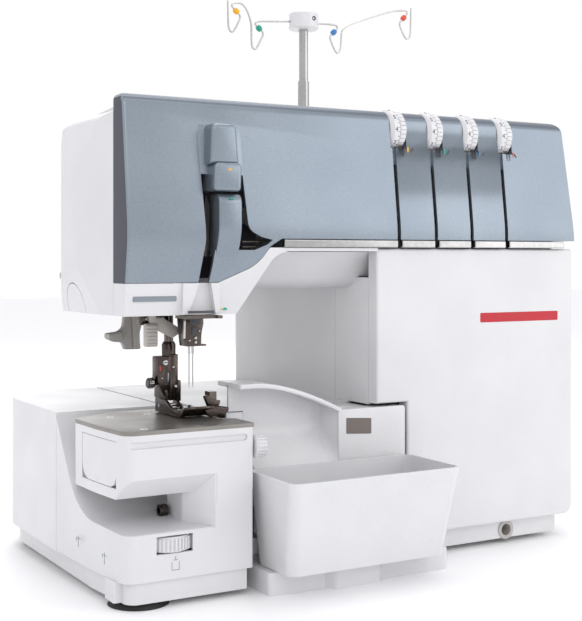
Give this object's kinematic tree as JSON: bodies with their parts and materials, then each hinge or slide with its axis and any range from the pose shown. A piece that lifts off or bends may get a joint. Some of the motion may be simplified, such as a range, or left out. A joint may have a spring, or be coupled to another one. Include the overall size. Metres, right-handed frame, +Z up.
{
  "type": "serger overlock machine",
  "caption": "Household overlock sewing machine with free arm, needle bar, presser foot, loopers, tension dials, looper cover, waste bin and telescopic thread stand.",
  "frame": {"origin": "centre of the machine's footprint box on the table, under the middle of its overall length and depth", "axes": "+X to the operator's right, towards the handwheel; +Y away from the operator; +Z up"},
  "size_m": [0.465, 0.35, 0.489],
  "materials": {
    "white_abs": "satin",
    "metallic_grey": "metallic lacquer",
    "chrome_trim": "polished",
    "dark_plate": "satin dark nickel",
    "steel": "satin",
    "cast_aluminium": "as cast",
    "motor_black": "matte",
    "rubber": "matte",
    "grey_plastic": "satin"
  },
  "bodies": {
    "frame": {"arm_underside_cover": "white_abs", "base_pan": "white_abs", "bed_cover": "white_abs", "case_screws": "steel", "chassis": "cast_aluminium", "cloth_plate": "dark_plate", "cone_holders": "white_abs", "drive_belt": "rubber", "free_arm_door": "white_abs", "front_panel": "metallic_grey", "head_end_cap": "white_abs", "head_lower_cover": "white_abs", "head_rear_cover": "white_abs", "inlet_panel": "motor_black", "knee_lifter_socket": "grey_plastic", "left_base_cover": "white_abs", "lower_knife": "steel", "mast_lower_tube": "chrome_trim", "motor": "motor_black", "needle_plate": "dark_plate", "right_front_cover": "white_abs", "rubber_feet": "rubber", "shaft_bearings": "steel", "spool_stand_plate": "grey_plastic", "takeup_covers": "metallic_grey", "takeup_housing": "motor_black", "tension_units": "steel", "thread_guides": "steel", "tower_middle_cover": "white_abs", "tower_rear_cover": "white_abs", "trim_strips": "chrome_trim"},
    "dial_1": {"tension_dial_1": "white_abs"},
    "dial_2": {"tension_dial_2": "white_abs"},
    "dial_3": {"tension_dial_3": "white_abs"},
    "dial_4": {"tension_dial_4": "white_abs"},
    "drive": {"main_shaft": "steel", "handwheel": "white_abs"},
    "rotor": {"motor_rotor": "steel"},
    "needle_unit": {"needle_bar": "steel", "needles": "steel"},
    "takeup": {"takeup_lever": "steel"},
    "lower_looper_arm": {"lower_looper": "steel"},
    "upper_looper_arm": {"upper_looper": "steel"},
    "knife": {"upper_knife": "steel"},
    "feed": {"feed_dogs": "steel"},
    "presser": {"presser_bar": "steel", "foot_holder": "steel"},
    "foot": {"presser_foot": "steel"},
    "lifter": {"presser_lifter": "grey_plastic"},
    "threader": {"threader_lever": "white_abs"},
    "thumbwheel": {"front_thumbwheel": "white_abs"},
    "knob": {"looper_knob": "white_abs"},
    "length_dial": {"stitch_length_dial": "white_abs"},
    "feed_dial": {"differential_dial": "white_abs"},
    "switch": {"power_switch": "motor_black"},
    "hinge_rod": {"cover_hinge_rod": "steel"},
    "cover": {"looper_cover": "white_abs"},
    "bin": {"waste_bin": "white_abs"},
    "mast": {"mast_upper_tube": "chrome_trim", "guide_wires": "steel"}
  },
  "joints": [
    {"name": "dial_1_turn", "type": "hinge", "parent": "frame", "child": "dial_1", "pos_m": [0.0245, -0.0815, 0.3485], "axis": [1, 0, 0], "range_deg": [-150, 150]},
    {"name": "dial_2_turn", "type": "hinge", "parent": "frame", "child": "dial_2", "pos_m": [0.0615, -0.0815, 0.3485], "axis": [1, 0, 0], "range_deg": [-150, 150]},
    {"name": "dial_3_turn", "type": "hinge", "parent": "frame", "child": "dial_3", "pos_m": [0.0985, -0.0815, 0.3485], "axis": [1, 0, 0], "range_deg": [-150, 150]},
    {"name": "dial_4_turn", "type": "hinge", "parent": "frame", "child": "dial_4", "pos_m": [0.1355, -0.0815, 0.3485], "axis": [1, 0, 0], "range_deg": [-150, 150]},
    {"name": "handwheel_turn", "type": "hinge", "parent": "frame", "child": "drive", "pos_m": [0.2175, -0.006, 0.07], "axis": [1, 0, 0], "continuous": true},
    {"name": "motor_turn", "type": "hinge", "parent": "frame", "child": "rotor", "pos_m": [0.1675, 0.089, 0.075], "axis": [1, 0, 0], "continuous": true},
    {"name": "needle_stroke", "type": "slide", "parent": "frame", "child": "needle_unit", "axis": [0, 0, 1], "range_m": [-0.028, 0]},
    {"name": "takeup_stroke", "type": "slide", "parent": "frame", "child": "takeup", "axis": [0, 0, 1], "range_m": [-0.008, 0]},
    {"name": "lower_looper_swing", "type": "hinge", "parent": "frame", "child": "lower_looper_arm", "pos_m": [-0.1355, -0.063, 0.062], "axis": [0, 1, 0], "range_deg": [-6, 6]},
    {"name": "upper_looper_swing", "type": "hinge", "parent": "frame", "child": "upper_looper_arm", "pos_m": [-0.134, -0.06, 0.062], "axis": [0, 1, 0], "range_deg": [-6, 6]},
    {"name": "knife_stroke", "type": "slide", "parent": "frame", "child": "knife", "axis": [0, 0, 1], "range_m": [-0.006, 0]},
    {"name": "feed_stroke", "type": "slide", "parent": "frame", "child": "feed", "axis": [0, 1, 0], "range_m": [-0.002, 0.002]},
    {"name": "presser_lift", "type": "slide", "parent": "frame", "child": "presser", "axis": [0, 0, 1], "range_m": [0, 0.006]},
    {"name": "foot_tilt", "type": "hinge", "parent": "presser", "child": "foot", "pos_m": [-0.1565, -0.043, 0.131], "axis": [1, 0, 0], "range_deg": [-3, 0], "stiffness_Nm_per_rad": 0.02},
    {"name": "lifter_turn", "type": "hinge", "parent": "frame", "child": "lifter", "pos_m": [-0.1755, 0.0085, 0.212], "axis": [0, 1, 0], "range_deg": [-30, 0]},
    {"name": "threader_press", "type": "slide", "parent": "frame", "child": "threader", "axis": [0, 0, 1], "range_m": [-0.012, 0], "stiffness_N_per_m": 30},
    {"name": "thumbwheel_turn", "type": "hinge", "parent": "frame", "child": "thumbwheel", "pos_m": [-0.187, -0.1095, 0.044], "axis": [0, 0, 1], "range_deg": [-60, 60]},
    {"name": "knob_turn", "type": "hinge", "parent": "frame", "child": "knob", "pos_m": [-0.1205, -0.122, 0.107], "axis": [1, 0, 0], "range_deg": [-45, 45]},
    {"name": "length_dial_turn", "type": "hinge", "parent": "frame", "child": "length_dial", "pos_m": [0.2125, -0.064, 0.16], "axis": [1, 0, 0], "range_deg": [-135, 135]},
    {"name": "feed_dial_turn", "type": "hinge", "parent": "frame", "child": "feed_dial", "pos_m": [0.2125, -0.064, 0.105], "axis": [1, 0, 0], "range_deg": [-135, 135]},
    {"name": "switch_rock", "type": "hinge", "parent": "frame", "child": "switch", "pos_m": [0.2035, 0.116, 0.056], "axis": [0, 1, 0], "range_deg": [-6, 6]},
    {"name": "cover_shift", "type": "slide", "parent": "frame", "child": "hinge_rod", "axis": [1, 0, 0], "range_m": [0, 0.002]},
    {"name": "cover_tilt", "type": "hinge", "parent": "hinge_rod", "child": "cover", "pos_m": [-0.0475, -0.095, 0.029], "axis": [1, 0, 0], "range_deg": [0, 81]},
    {"name": "bin_pull", "type": "slide", "parent": "frame", "child": "bin", "axis": [0, -1, 0], "range_m": [0, 0.15]},
    {"name": "mast_slide", "type": "slide", "parent": "frame", "child": "mast", "axis": [0, 0, 1], "range_m": [-0.045, 0]}
  ],
  "couplings": [
    {"joint": "motor_turn", "follows": "handwheel_turn", "ratio": 3.3333},
    {"joint": "takeup_stroke", "follows": "needle_stroke", "ratio": 0.28571},
    {"joint": "knife_stroke", "follows": "needle_stroke", "ratio": 0.21429},
    {"joint": "lifter_turn", "follows": "presser_lift", "rad_per_m": -87},
    {"joint": "cover_tilt", "follows": "bin_pull", "rad_per_m": 9.3458}
  ]
}
